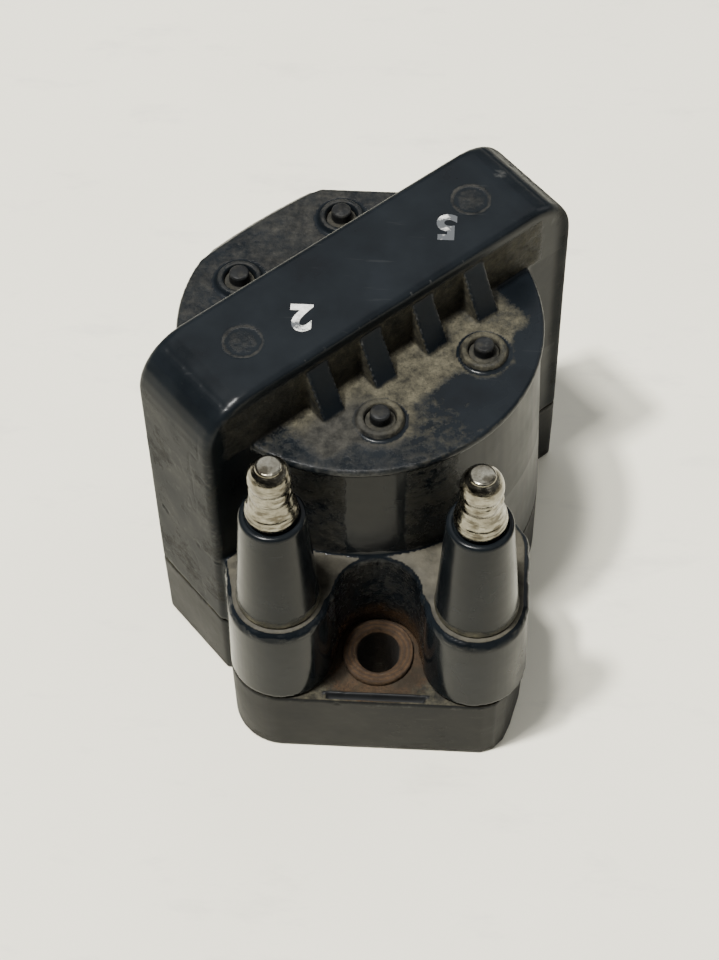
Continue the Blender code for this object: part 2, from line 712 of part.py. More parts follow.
def build_bushings():
    for word, (x, y), (hole, straight), foot in (
            ("front", FRONT_BUSHING, FRONT_HOLE, Z_PARTING + GAP),
            ("rear", REAR_BUSHING, REAR_HOLE, Z_LUG + GAP)):
        def add_bushing(bm, x=x, y=y, hole=hole, straight=straight, foot=foot):
            top = foot + BUSHING_FLANGE
            rings = []
            for radius, z in ((BUSHING_R, 0.0), (BUSHING_R, foot), (BUSHING_FLANGE_R, foot),
                              (BUSHING_FLANGE_R, top - 0.3), (BUSHING_FLANGE_R - 0.3, top),
                              (hole + 0.5, top), (hole, top - 0.5), (hole, 0.3), (hole + 0.3, 0.0)):
                outline = slot_outline(x, y, radius, straight, 32)
                rings.append([bm.verts.new(Vector((px, py, z)) * MM) for px, py in outline])
            count = len(rings[0])
            for k, ring in enumerate(rings):
                above = rings[(k + 1) % len(rings)]
                for i in range(count):
                    j = (i + 1) % count
                    bm.faces.new((ring[i], ring[j], above[j], above[i]))
        bushing = new_object("bushing_" + word, add_bushing, (0.42, 0.3, 0.2), 0.55, 1.0)
        smooth(bushing)


# --- build -----------------------------------------------------------------

for thing in list(bpy.data.objects):
    bpy.data.objects.remove(thing, do_unlink=True)

coil = bpy.data.collections.new("ignition_coil")
cutters = bpy.data.collections.new("cutters")
bpy.context.scene.collection.children.link(coil)
bpy.context.scene.collection.children.link(cutters)

build_housing()
build_tray()
build_towers()
build_leads()
build_core()
build_windings()
build_case()
build_pins()
build_contacts()
build_bushings()

# move everything so that the middle of the overall box's bottom is the origin
outer = list(coil.objects) + [thing for thing in cutters.objects if "solid" in thing.name]
corners = [vertex.co for thing in outer for vertex in thing.data.vertices]
middle = [(min(c[axis] for c in corners) + max(c[axis] for c in corners)) / 2 for axis in (0, 1)]
shift = Matrix.Translation((-middle[0], -middle[1], 0.0))
for group in (coil, cutters):
    for thing in group.objects:
        thing.data.transform(shift)
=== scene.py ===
"""Looks of the two-tower ignition coil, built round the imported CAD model."""

import math

import bpy
import numpy as np
from mathutils import Matrix, Vector


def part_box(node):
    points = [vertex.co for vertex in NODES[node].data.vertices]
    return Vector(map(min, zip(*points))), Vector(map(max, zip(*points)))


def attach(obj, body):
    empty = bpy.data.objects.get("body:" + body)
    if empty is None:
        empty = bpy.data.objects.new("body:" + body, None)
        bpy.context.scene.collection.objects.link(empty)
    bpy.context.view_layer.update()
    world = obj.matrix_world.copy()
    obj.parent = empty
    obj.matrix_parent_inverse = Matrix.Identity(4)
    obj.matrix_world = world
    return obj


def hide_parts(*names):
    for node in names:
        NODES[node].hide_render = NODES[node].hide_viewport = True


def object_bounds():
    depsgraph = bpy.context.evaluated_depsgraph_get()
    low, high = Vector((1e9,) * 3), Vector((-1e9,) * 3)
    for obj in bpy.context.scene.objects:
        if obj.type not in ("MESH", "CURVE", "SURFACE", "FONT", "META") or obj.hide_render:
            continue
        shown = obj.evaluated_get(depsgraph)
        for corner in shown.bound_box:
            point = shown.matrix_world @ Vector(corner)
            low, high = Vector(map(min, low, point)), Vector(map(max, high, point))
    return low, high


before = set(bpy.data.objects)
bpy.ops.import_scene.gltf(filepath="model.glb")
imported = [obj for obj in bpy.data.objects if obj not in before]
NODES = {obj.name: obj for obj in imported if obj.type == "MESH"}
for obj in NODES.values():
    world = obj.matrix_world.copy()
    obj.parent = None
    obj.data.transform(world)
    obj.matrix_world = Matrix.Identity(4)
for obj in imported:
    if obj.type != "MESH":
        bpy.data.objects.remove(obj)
CAD_LOW, CAD_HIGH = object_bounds()

MM = 0.001
SCENE = bpy.context.scene


def box_mm(node):
    """Lowest and highest corner of a CAD node, in mm."""
    low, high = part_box(node)
    return np.array(low) / MM, np.array(high) / MM


def middle(node):
    """The centre of a CAD node's box, in mm."""
    low, high = box_mm(node)
    return (low + high) / 2


# places, in mm, read from the frame
CORE_LOW, CORE_HIGH = box_mm("core_e")
BAR = (CORE_LOW[:2] + CORE_HIGH[:2]) / 2
TOWER_L, TOWER_R = middle("tower_left"), middle("tower_right")
BUSH_F = middle("bushing_front")
PINS = [middle("support_pin_%d" % i) for i in (1, 2, 3, 4)]
Z_PARTING = box_mm("base_tray")[1][2]

# sizes of the CAD part, in mm, that the frame doesn't give; u and v run along
# and across the diagonal bar
BAR_ANGLE = math.radians(42.07)
ACROSS = np.array([-math.sin(BAR_ANGLE), math.cos(BAR_ANGLE), 0.0])
Z_SHOULDER, Z_TOWER, Z_DECK = 37.55, 62.9, 65.6
RIB_U = (-17.25, -5.75, 5.75, 17.25)
MARK_U, MARK_R = 25.1, 3.36
BOSS_R = 9.13

# places that dirt, wear and a painted highlight are measured from, in mm, close to the CAD's
# own
BAR_SIDES = (-10.2, 10.2)
BODY, BODY_WALL_R = BAR + np.array([0.44, 0.41]), 32.2
DECK, DECK_RIM_R = BODY + np.array([-0.4, -1.7]), 32.4
POCKET_R = 9.6
Z_TRAY_RIM = 16.2

# where the look leaves the CAD shape, in mm; y is taken from the front bushing
BOSS_ROUND = 2.2
FLAT_BOW = 0.9
GAP_Y, GAP_HALF, GAP_DEPTH = (-9.35, -8.85), 8.8, 0.9
LIP_Y, LIP_HALF, LIP_RISE = (-8.60, -8.25), 9.4, 0.35
Z_NUMERAL, NUMERAL_SIZE = 78.64, 5.6


# --- numpy helpers ---------------------------------------------------------

def lattice(ix, iy, iz, seed):
    """A repeatable pseudo-random value from 0 to 1 at each whole-number point."""
    h = (ix * 374761393 + iy * 668265263 + iz * 1442695041 + seed * 974634777) & 0xFFFFFFFF
    h = ((h ^ (h >> 13)) * 1274126177) & 0xFFFFFFFF
    return ((h ^ (h >> 16)) & 0xFFFF) / 65535.0


def value_noise(p, size, seed, octaves=1):
    """Smooth noise, mostly between -1 and 1, with features about size mm across."""
    total, weight, norm = np.zeros(len(p)), 1.0, 0.0
    for octave in range(octaves):
        q = p / (size / 2 ** octave) + 31.7 * octave
        cell = np.floor(q).astype(np.int64)
        t = q - cell
        t = t * t * (3 - 2 * t)
        value = np.zeros(len(p))
        for dx in (0, 1):
            for dy in (0, 1):
                for dz in (0, 1):
                    share = (np.where(dx, t[:, 0], 1 - t[:, 0])
                             * np.where(dy, t[:, 1], 1 - t[:, 1])
                             * np.where(dz, t[:, 2], 1 - t[:, 2]))
                    value += share * lattice(cell[:, 0] + dx, cell[:, 1] + dy,
                                             cell[:, 2] + dz, seed + octave)
        total += weight * (2 * value - 1)
        norm += weight
        weight *= 0.5
    return total / norm


def ramp(x, low, high):
    """Smooth step: 0 at low, 1 at high; low may be the larger."""
    t = np.clip((x - low) / (high - low), 0, 1)
    return t * t * (3 - 2 * t)


def window(x, low, high, soft):
    """1 between low and high, falling to 0 over soft outside them."""
    return ramp(x, low - soft, low) * ramp(x, high + soft, high)


def to_uv(p):
    """Coordinates along and across the diagonal bar."""
    c, s = math.cos(BAR_ANGLE), math.sin(BAR_ANGLE)
    x, y = p[:, 0] - BAR[0], p[:, 1] - BAR[1]
    return x * c + y * s, y * c - x * s


def near(p, centre):
    """Distance from a vertical axis."""
    return np.hypot(p[:, 0] - centre[0], p[:, 1] - centre[1])


# --- meshes ----------------------------------------------------------------

def points_of(mesh):
    """The points in mm."""
    co = np.empty(len(mesh.vertices) * 3, np.float32)
    mesh.vertices.foreach_get("co", co)
    return co.reshape(-1, 3).astype(float) / MM


def normals_of(mesh):
    """The point normals, read before any point is moved."""
    no = np.empty(len(mesh.vertices) * 3, np.float32)
    mesh.vertices.foreach_get("normal", no)
    return no.reshape(-1, 3).astype(float)


def set_points(mesh, p):
    """Move the points to p, in mm."""
    mesh.vertices.foreach_set("co", (p * MM).astype(np.float32).ravel())
    mesh.update()


def set_masks(mesh, **masks):
    """Store values from 0 to 1 on the points, for the materials to read by name."""
    for name, values in masks.items():
        layer = mesh.attributes.new(name, "FLOAT", "POINT")
        layer.data.foreach_set("value", np.clip(values, 0, 1).astype(np.float32))


def link(name, mesh):
    """A new object in the scene."""
    obj = bpy.data.objects.new(name, mesh)
    SCENE.collection.objects.link(obj)
    return obj


def baked(obj, name):
    """A new object holding obj's mesh with its modifiers applied; obj goes."""
    graph = bpy.context.evaluated_depsgraph_get()
    mesh = bpy.data.meshes.new_from_object(obj.evaluated_get(graph))
    bpy.data.objects.remove(obj)
    mesh.name = name
    result = link(name, mesh)
    for polygon in mesh.polygons:
        polygon.use_smooth = True
    return result


def shell(name, node, voxel, soften):
    """A finely meshed copy of a CAD node with its edges rounded over."""
    work = link(name + "_work", NODES[node].data.copy())
    remesh = work.modifiers.new("remesh", "REMESH")
    remesh.mode = "VOXEL"
    remesh.voxel_size = voxel * MM
    relax = work.modifiers.new("relax", "SMOOTH")
    relax.factor = 0.5
    relax.iterations = soften
    return baked(work, name)


def keep_inside(p):
    """Hold points inside the CAD box."""
    return np.clip(p, np.array(CAD_LOW) / MM + 0.01, np.array(CAD_HIGH) / MM - 0.01)


def turned(name, centre, profile, steps=72):
    """A solid turned about a vertical axis from an open (radius, z) profile."""
    verts, faces = [], []
    for r, z in profile:
        for i in range(steps):
            a = 2 * math.pi * i / steps
            verts.append(((centre[0] + r * math.cos(a)) * MM,
                          (centre[1] + r * math.sin(a)) * MM, z * MM))
    for j in range(len(profile) - 1):
        for i in range(steps):
            k = (i + 1) % steps
            faces.append((j * steps + i, j * steps + k,
                          (j + 1) * steps + k, (j + 1) * steps + i))
    faces.append(tuple(reversed(range(steps))))
    top = (len(profile) - 1) * steps
    faces.append(tuple(range(top, top + steps)))
    mesh = bpy.data.meshes.new(name)
    mesh.from_pydata(verts, [], faces)
    mesh.update()
    obj = link(name, mesh)
    for polygon in mesh.polygons:
        polygon.use_smooth = len(polygon.vertices) == 4
    return obj


def resampled(corners, step, rounding):
    """Points along a profile every step mm, its corners eased over rounding mm."""
    corners = np.array(corners, float)
    lengths = np.hypot(*np.diff(corners, axis=0).T)
    along = np.concatenate([[0], np.cumsum(lengths)])
    count = max(2, int(along[-1] / step))
    t = np.linspace(0, along[-1], count + 1)
    points = np.column_stack([np.interp(t, along, corners[:, i]) for i in (0, 1)])
    passes = max(1, int((rounding / step) ** 2))
    for _ in range(passes):
        points[1:-1] = (points[:-2] + 2 * points[1:-1] + points[2:]) / 4
    return [tuple(q) for q in points]


# --- materials -------------------------------------------------------------

class Nodes:
    """A small writer for one material's node tree."""

    def __init__(self, name):
        self.material = bpy.data.materials.new(name)
        self.material.use_nodes = True
        self.tree = self.material.node_tree
        self.shader = self.tree.nodes["Principled BSDF"]
        self.place = self.add("ShaderNodeTexCoord").outputs["Object"]

    def add(self, kind, **settings):
        node = self.tree.nodes.new(kind)
        for key, value in settings.items():
            setattr(node, key, value)
        return node

    def join(self, source, target):
        """Set a socket to a number or a colour, or link it to another socket."""
        if isinstance(source, (int, float)):
            target.default_value = source
        elif isinstance(source, tuple):
            target.default_value = source if len(source) == 4 else source + (1.0,)
        else:
            self.tree.links.new(source, target)

    def noise(self, size, detail=4.0, rough=0.55, stretch=(1, 1, 1)):
        """Noise with features about size mm across."""
        mapping = self.add("ShaderNodeMapping")
        mapping.inputs["Scale"].default_value = stretch
        self.join(self.place, mapping.inputs["Vector"])
        node = self.add("ShaderNodeTexNoise")
        self.join(mapping.outputs[0], node.inputs["Vector"])
        node.inputs["Scale"].default_value = 1.0 / (size * MM)
        node.inputs["Detail"].default_value = detail
        node.inputs["Roughness"].default_value = rough
        return node.outputs["Fac"]

    def span(self, value, low, high, to_low=0.0, to_high=1.0):
        """Map low..high to to_low..to_high, clamped."""
        node = self.add("ShaderNodeMapRange")
        self.join(value, node.inputs["Value"])
        for key, number in (("From Min", low), ("From Max", high),
                            ("To Min", to_low), ("To Max", to_high)):
            node.inputs[key].default_value = number
        return node.outputs["Result"]

    def math(self, operation, a, b):
        node = self.add("ShaderNodeMath", operation=operation)
        self.join(a, node.inputs[0])
        self.join(b, node.inputs[1])
        return node.outputs[0]

    def mix(self, share, a, b):
        """Colour a where share is 0, b where it is 1."""
        node = self.add("ShaderNodeMix", data_type="RGBA")
        self.join(share, node.inputs["Factor"])
        self.join(a, node.inputs[6])
        self.join(b, node.inputs[7])
        return node.outputs[2]

    def mask(self, name):
        """A mask stored on the mesh, or 0 where the mesh has none of that name."""
        return self.add("ShaderNodeAttribute", attribute_name=name).outputs["Fac"]

    def cover(self, mask, grain, sharp=0.16):
        """A mask broken up by noise: patchy where the mask is part way."""
        edge = self.math("ADD", mask, self.math("SUBTRACT", grain, 0.5))
        return self.span(edge, 0.5 - sharp, 0.5 + sharp)

    def finish(self, colour, roughness, heights=(), metallic=0.0, specular=0.5):
        """Connect the shader. heights is a list of (height, strength, distance in mm)."""
        self.join(colour, self.shader.inputs["Base Color"])
        self.join(roughness, self.shader.inputs["Roughness"])
        self.join(metallic, self.shader.inputs["Metallic"])
        self.shader.inputs["Specular IOR Level"].default_value = specular
        normal = None
        for height, strength, distance in heights:
            bump = self.add("ShaderNodeBump")
            bump.inputs["Strength"].default_value = strength
            bump.inputs["Distance"].default_value = distance * MM
            self.join(height, bump.inputs["Height"])
            if normal is not None:
                self.join(normal, bump.inputs["Normal"])
            normal = bump.outputs["Normal"]
        if normal is not None:
            self.join(normal, self.shader.inputs["Normal"])
        return self.material


def plastic_material(name, base, roughness, sheen_size=9.0, specular=0.115):
    """Moulded black plastic with soil, scuffs, rust bleed and hairline scratches; its dim and
    pale dust also carry painted shade and painted light.
    """
    n = Nodes(name)
    broad, fine = n.noise(sheen_size, 3), n.noise(0.9, 6, 0.65)
    grit = n.noise(0.35, 3, 0.7)
    darker = tuple(c * 0.72 for c in base)
    lighter = tuple(c * 1.35 for c in base)
    colour = n.mix(n.span(broad, 0.3, 0.7), darker, lighter)
    scratch = n.noise(1.2, 2, 0.5, (0.12, 1.4, 1.0))
    hair = n.span(scratch, 0.70, 0.74)
    colour = n.mix(n.math("MULTIPLY", hair, 0.035), colour, (0.16, 0.16, 0.155))
    wear = n.cover(n.mask("wear"), n.noise(2.2, 7, 0.7))
    worn = n.mix(n.span(fine, 0.35, 0.65), (0.030, 0.031, 0.030), (0.098, 0.098, 0.092))
    colour = n.mix(n.math("MULTIPLY", wear, 0.85), colour, worn)
    soil = n.cover(n.mask("soil"), n.noise(1.6, 8, 0.72), 0.22)
    dust = n.mix(n.span(n.noise(2.6, 6, 0.7), 0.34, 0.66), (0.016, 0.015, 0.011),
                 (0.098, 0.089, 0.060))
    dust = n.mix(n.span(grit, 0.52, 0.70, 0.0, 0.6), dust, (0.009, 0.009, 0.008))
    # where the dim mask is set the dust turns to a darker grime; on faces that lie in shade,
    # such as the bar's ends, that darkness is painted shade
    grime_and_shade = n.mix(n.span(n.noise(2.0, 6, 0.7), 0.36, 0.66), (0.011, 0.011, 0.010),
                  (0.044, 0.042, 0.036))
    dust = n.mix(n.mask("dim"), dust, grime_and_shade)
    # pale lifts the dust on the bosses' shoulder to a light tan: dust, and painted light on the
    # shoulder's top
    dust = n.mix(n.mask("pale"), dust, (0.150, 0.137, 0.103))
    colour = n.mix(n.math("MULTIPLY", soil, 0.88), colour, dust)
    rust = n.cover(n.mask("rust"), n.noise(1.1, 6, 0.7))
    bleed = n.mix(n.span(grit, 0.3, 0.7), (0.014, 0.009, 0.006), (0.064, 0.037, 0.019))
    bleed = n.mix(n.span(n.noise(3.2, 4), 0.42, 0.62), bleed, (0.022, 0.016, 0.011))
    colour = n.mix(n.math("MULTIPLY", rust, 0.85), colour, bleed)
    shine = n.span(broad, 0.3, 0.7, roughness - 0.05, roughness + 0.07)
    shine = n.math("SUBTRACT", shine, n.math("MULTIPLY", n.mask("gloss"), 0.15))
    shine = n.math("ADD", shine, n.math("MULTIPLY", n.mask("matte"), 0.40))
    shine = n.math("ADD", shine, n.math("MULTIPLY", soil, 0.42))
    shine = n.math("ADD", shine, n.math("MULTIPLY", wear, 0.18))
    shine = n.math("MINIMUM", shine, 0.95)
    lumps = n.math("MULTIPLY", soil, fine)
    return n.finish(colour, shine, [(fine, 0.10, 0.05), (lumps, 0.8, 0.25),
                                    (hair, -0.15, 0.03)],
                    specular=specular)


def steel_material(name, bright, rusty, amount, roughness):
    """Turned steel under patches of rust."""
    n = Nodes(name)
    patch = n.noise(2.4, 7, 0.7)
    grit = n.noise(0.45, 4, 0.7)
    metal = n.mix(n.span(grit, 0.3, 0.7), tuple(c * 0.7 for c in bright), bright)
    crust = n.mix(n.span(n.noise(1.0, 6, 0.7), 0.32, 0.68),
                  tuple(c * 0.35 for c in rusty), rusty)
    cover = n.span(patch, 0.62 - amount * 0.4, 0.78 - amount * 0.4)
    colour = n.mix(cover, metal, crust)
    wander = n.math("MULTIPLY", n.noise(1.6, 3), 3.0)
    rings = n.math("SINE", n.math("ADD", n.math("MULTIPLY", n.mask("turn"), 78.0), wander), 0)
    colour = n.mix(n.span(rings, -0.4, 1.0, 0.0, 0.62), colour, (0.020, 0.014, 0.010))
    # near black down inside the bore, darker further down: painted shade
    colour = n.mix(n.math("MULTIPLY", n.mask("deep"), 0.85), colour, (0.010, 0.009, 0.008))
    shine = n.span(cover, 0, 1, roughness, 0.88)
    return n.finish(colour, shine, [(n.math("MULTIPLY", grit, cover), 0.7, 0.18),
                                    (rings, 0.35, 0.12)],
                    metallic=n.span(cover, 0, 1, 0.8, 0.0), specular=0.3)


def nickel_material(name):
    """Bright plate, slightly pitted, with warm stains."""
    n = Nodes(name)
    stain = n.noise(2.6, 5, 0.6)
    pits = n.noise(0.5, 4, 0.7)
    colour = n.mix(n.span(stain, 0.35, 0.7), (0.29, 0.275, 0.225), (0.120, 0.108, 0.082))
    bands = n.noise(2.6, 5, 0.6, (1, 1, 3.2))
    colour = n.mix(n.span(bands, 0.47, 0.60, 0.0, 0.80), colour, (0.050, 0.042, 0.029))
    colour = n.mix(n.span(pits, 0.58, 0.72), colour, (0.13, 0.11, 0.08))
    shine = n.span(n.noise(1.4, 5), 0.3, 0.7, 0.11, 0.32)
    dents = n.noise(1.7, 4, 0.5, (1, 1, 2))
    return n.finish(colour, shine, [(dents, 0.32, 0.30), (pits, 0.15, 0.06)], metallic=1.0)


def grained_material(name, low, high, roughness, size, metallic=0.0, stretch=(1, 1, 1)):
    """A general grained finish for pieces inside the housing."""
    n = Nodes(name)
    grain = n.noise(size, 5, 0.6, stretch)
    return n.finish(n.mix(n.span(grain, 0.3, 0.7), low, high),
                    n.span(grain, 0.3, 0.7, roughness, roughness + 0.15),
                    [(grain, 0.3, 0.1)], metallic=metallic)


def dress(obj, material):
    """Give an object one material."""
    obj.data.materials.clear()
    obj.data.materials.append(material)


def settle(piece, nodes):
    """Tell the frame what a new piece rides on and stands for."""
    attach(piece, "root")
    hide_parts(*nodes)


# --- housing ---------------------------------------------------------------

def rounded_bosses(p):
    """Ease the front edge of the two bosses over a wider round than the CAD has."""
    p = p.copy()
    for centre in (TOWER_L, TOWER_R):
        reach = np.maximum(near(p, centre), 0.1)
        size = BOSS_ROUND * ramp(p[:, 1], centre[1] + 1.5, centre[1] - 1.5)
        inward, down = BOSS_R - reach, Z_SHOULDER - p[:, 2]
        corner = (inward > -0.5) & (inward < size) & (down > -0.5) & (down < size)
        far = np.hypot(inward - size, down - size)
        pull = np.where(corner & (far > size), size / np.maximum(far, 0.01), 1.0)
        slide = (inward - (size + (inward - size) * pull)) / reach
        p[:, 0] += (p[:, 0] - centre[0]) * slide
        p[:, 1] += (p[:, 1] - centre[1]) * slide
        p[:, 2] += down - (size + (down - size) * pull)
    return p


def build_housing():
    """The overmoulded body: masks for its dirt and wear, with some painted shade and painted
    light among them, first, then its relief.
    """
    obj = shell("housing_shell", "housing", 0.36, 2)
    mesh = obj.data
    p, no = points_of(mesh), normals_of(mesh)
    u, v = to_uv(p)
    z = p[:, 2]
    up = ramp(no[:, 2], 0.55, 0.85)
    side = 1 - up
    p = rounded_bosses(p)

    # the deck, with most of its soil between the ribs and round the ring bosses
    ring = np.min([near(p, c) for c in PINS], axis=0)
    on_deck = up * window(z, Z_DECK - 1.0, 67.4, 0.5)
    front = ramp(-v, 8.0, 11.0)
    rib_zone = window(u, -22, 21, 4) * window(-v, 9.0, 19.0, 3.0)
    deck_left = ramp(u, 12.0, -8.0)
    rib_near = np.min([np.abs(u - r) for r in RIB_U], axis=0)
    rib_top = (ramp(z, 65.9, 66.8) * ramp(no[:, 2], 0.12, 0.35) * ramp(rib_near, 2.6, 2.1)
               * window(-v, 9.6, 15.2, 0.4))
    soil = on_deck * front * (0.58 * rib_zone + 0.34 * deck_left)
    soil += on_deck * front * ramp(ring, 7.0, 4.4) * 0.45
    soil += on_deck * (1 - front) * (0.50 + 0.20 * value_noise(p, 9, 5, 2))
    dim = np.maximum(1 - front, 0.95 * ramp(u, -6.0, -16.0) * ramp(-v, 11.0, 15.0))
    dim = np.maximum(dim, ramp(z, Z_DECK - 1.5, Z_DECK - 3.0) * 0.55)
    dim = np.maximum(dim, side * (z > Z_DECK) * (0.35 + 0.55 * ramp(u, -18.0, -26.0)))
    soil += (side * window(z, Z_DECK + 0.5, 75.5, 1.5) * ramp(-v, 8.0, 9.5) * 0.62
             * window(u, -36, 32, 3))
    soil *= 1 - 0.85 * rib_top

    # the bosses' shoulder, the body wall and the screw pocket
    shoulder = up * window(z, Z_SHOULDER - 1.4, Z_SHOULDER + 1.0, 0.5)
    soil += shoulder * ramp(no[:, 2], 0.90, 0.97) * 1.05
    reach = near(p, BUSH_F)
    wall = (side * window(z, 19.0, Z_DECK - 2.5, 1.0) * (p[:, 1] < -14)
            * ramp(np.abs(near(p, BODY) - BODY_WALL_R), 2.2, 1.2))
    bands = window(p[:, 0], -13.0, -1.4, 1.6) + window(p[:, 0], 10.2, 18.0, 1.6)
    soil += wall * (0.44 + 0.34 * value_noise(p, 4, 14, 3)) * bands
    dim = np.maximum(dim, wall * 0.8)
    pocket = ramp(reach, POCKET_R, POCKET_R - 1.2) * ramp(z, Z_SHOULDER + 0.4, Z_SHOULDER - 0.5)
    soil += pocket * side * 0.34
    soil += 0.10 * value_noise(p, 6, 11, 3)

    # the bar's ends, edges, top and two round marks
    on_bar = window(v, *BAR_SIDES, 0.6)
    end_left = ramp(u, -38.0, -40.2) * side * on_bar * ramp(z, 73.5, 68.5)
    wear = end_left * (0.26 + 0.34 * value_noise(p, 6, 21, 3))
    soil += end_left * (0.24 + 0.40 * value_noise(p, 5, 23, 3))
    # the bar's left end face: its dust darker, painted shade
    dim = np.maximum(dim, end_left * 0.6)
    # the bar's right-hand roll lightened with wear and dust, which also paints the sheen that
    # falls on it from the right
    right_roll = ramp(u, 33, 38) * ramp(z, 70, 76) * on_bar
    wear += right_roll * 0.34
    soil += right_roll * ramp(u, 34, 38) * 0.34
    wear += rib_top * (0.18 + 0.34 * ramp(rib_near, 1.7, 2.2))
    # a lighter band along the front of the deck's rim: edge wear and a painted highlight on its
    # lip
    rim = np.abs(near(p, DECK) - DECK_RIM_R)
    wear += (ramp(rim, 0.9, 0.2) * window(z, 64.6, 65.8, 0.4) * 0.40
             * window(p[:, 0], -8, 14, 5))
    # a clean black line round the foot of each ring boss: painted shade
    soil -= on_deck * window(ring, 4.35, 4.75, 0.25) * 0.9
    scuff = np.hypot(u - 33.0, v - 1.5)
    wear += up * (z > 77) * (0.45 * ramp(scuff, 2.4, 0.6) + 0.10 * value_noise(p, 5, 33, 3))
    mark = np.min([np.hypot(u - m, v) for m in (-MARK_U, MARK_U)], axis=0)
    on_top = (z > 77.5) * up
    soil += on_top * window(mark, MARK_R - 0.15, MARK_R + 0.10, 0.4) * 0.60
    soil += on_top * ramp(mark, MARK_R, MARK_R - 1.4) * 0.38
    dim = np.maximum(dim, on_top * 0.2)
    end_right = ramp(u, 36.0, 39.0) * side
    soil += end_right * (0.24 + 0.2 * value_noise(p, 6, 24, 2))
    # the bar's right end: its dust darker, painted shade
    dim = np.maximum(dim, end_right)

    # the parting line, the shoulder's edge and the rust that runs down the pocket
    seam = ramp(np.abs(z - Z_PARTING - 0.6), 1.1, 0.2) * side
    wear += seam * 0.40
    wear += ramp(np.abs(z - Z_SHOULDER + 0.6), 0.9, 0.2) * (p[:, 1] < -20) * side * 0.20
    rust = pocket * ramp(z, 28.0, 18.0) * 0.78
    rust += (side * (p[:, 1] < BUSH_F[1] + 6) * ramp(reach, 15.0, 9.0)
             * ramp(z, 23.0, 17.5) * 0.5)

    # relief: uneven moulding, caked soil, chipped edges, flash, marks and cracks
    lift = 0.030 * value_noise(p, 11, 3, 2) + 0.012 * value_noise(p, 2.2, 4, 2)
    lift += np.clip(soil, 0, 1) * (0.05 + 0.07 * value_noise(p, 1.1, 7, 2))
    chips = ramp(value_noise(p, 1.7, 9, 2), 0.42, 0.62)
    lift -= chips * 0.22 * (seam + right_roll * 0.5)
    flash = window(z, Z_SHOULDER - 1.3, Z_SHOULDER - 0.5, 0.35) * (p[:, 1] < -19)
    lift += flash * 0.16 * ramp(value_noise(p, 2.6, 12, 3), 0.02, 0.16)
    lift -= flash * 0.12 * ramp(value_noise(p, 1.3, 13, 2), 0.10, 0.35)
    lift -= on_top * window(mark, MARK_R - 0.1, MARK_R + 0.1, 0.35) * 0.12
    lift -= on_top * 0.10
    tall = p * np.array([1, 1, 0.35])
    crack = end_left * ramp(np.abs(value_noise(tall, 6, 41, 3)), 0.035, 0.0)
    lift -= crack * 0.09 * ramp(v, 0, -6)
    bow = FLAT_BOW * (1 - np.clip((u + 0.8) / 14.5, -1, 1) ** 2) * ramp(v, 26.6, 28.0)
    p = p + bow[:, None] * ACROSS
    set_points(mesh, keep_inside(p + no * lift[:, None]))
    below_deck = z < Z_DECK - 0.8
    gloss = below_deck * ramp(np.abs(v), 10.3, 11.0) * ramp(p[:, 0], 24, 14) + 0.35 * on_deck
    matte = (np.maximum(0.6 * end_left, end_right)
             + 0.25 * below_deck * (z > Z_SHOULDER) * ramp(p[:, 0], 16, 26))
    # pale: paler dust on the shoulder, partly painted light
    pale = shoulder * (0.26 + 0.34 * value_noise(p, 2.4, 15, 4))
    set_masks(mesh, dim=dim, pale=pale, soil=soil, wear=wear, rust=rust, gloss=gloss,
              matte=matte)
    dress(obj, plastic_material("overmould", (0.0050, 0.0066, 0.0084), 0.31))
    settle(obj, ["housing"])


def build_tray():
    """The lower moulding, with the lip that shows under the pocket."""
    obj = shell("base_tray_shell", "base_tray", 0.34, 1)
    mesh = obj.data
    p, no = points_of(mesh), normals_of(mesh)
    z = p[:, 2]
    side = 1 - ramp(np.abs(no[:, 2]), 0.5, 0.85)
    up = ramp(no[:, 2], 0.55, 0.85)
    reach = near(p, BUSH_F)
    soil = 0.16 + 0.14 * value_noise(p, 8, 51, 3) + up * 0.40
    soil += ramp(z, 4, 0) * 0.14
    wear = ramp(np.abs(z - 0.6), 1.0, 0.2) * 0.30 * side
    wear += ramp(np.abs(z - Z_TRAY_RIM), 0.9, 0.2) * 0.30 * side
    wear += side * 0.04 + side * 0.12 * value_noise(p, 6, 52, 3)
    rust = up * ramp(reach, 15.5, 6.5) * 0.88
    lift = 0.03 * value_noise(p, 9, 53, 2) + 0.02 * value_noise(p, 1.6, 54, 2)
    chips = ramp(value_noise(p, 1.5, 55, 2), 0.45, 0.65)
    lift -= chips * 0.22 * ramp(np.abs(z - Z_TRAY_RIM - 0.2), 1.1, 0.2)
    caked = up * (z > 16) * ramp(reach, 8.6, 6.7)
    lift += caked * (0.34 + 0.10 * value_noise(p, 1.5, 56, 2))

    # the lip in front of the pocket and the gap before it; z follows p as they move it
    x, y = p[:, 0] - BUSH_F[0], p[:, 1] - BUSH_F[1]
    gap = window(y, *GAP_Y, 0.20) * window(x, -GAP_HALF, GAP_HALF, 0.3)
    p[:, 2] -= gap * (z > 15.2) * GAP_DEPTH
    lip = window(y, *LIP_Y, 0.20) * window(x, -LIP_HALF, LIP_HALF, 0.5)
    p[:, 2] += lip * (z > 15.2) * LIP_RISE
    soil -= (lip + gap) * 0.6
    rust *= 1 - np.clip(lip + gap, 0, 1)
    set_points(mesh, keep_inside(p + no * lift[:, None]))
    set_masks(mesh, soil=soil, wear=wear, rust=rust, dim=side * 0.7)
    dress(obj, plastic_material("tray", (0.0068, 0.0073, 0.0078), 0.50, specular=0.12))
    settle(obj, ["base_tray"])


# --- towers, posts, bushings, pins -----------------------------------------

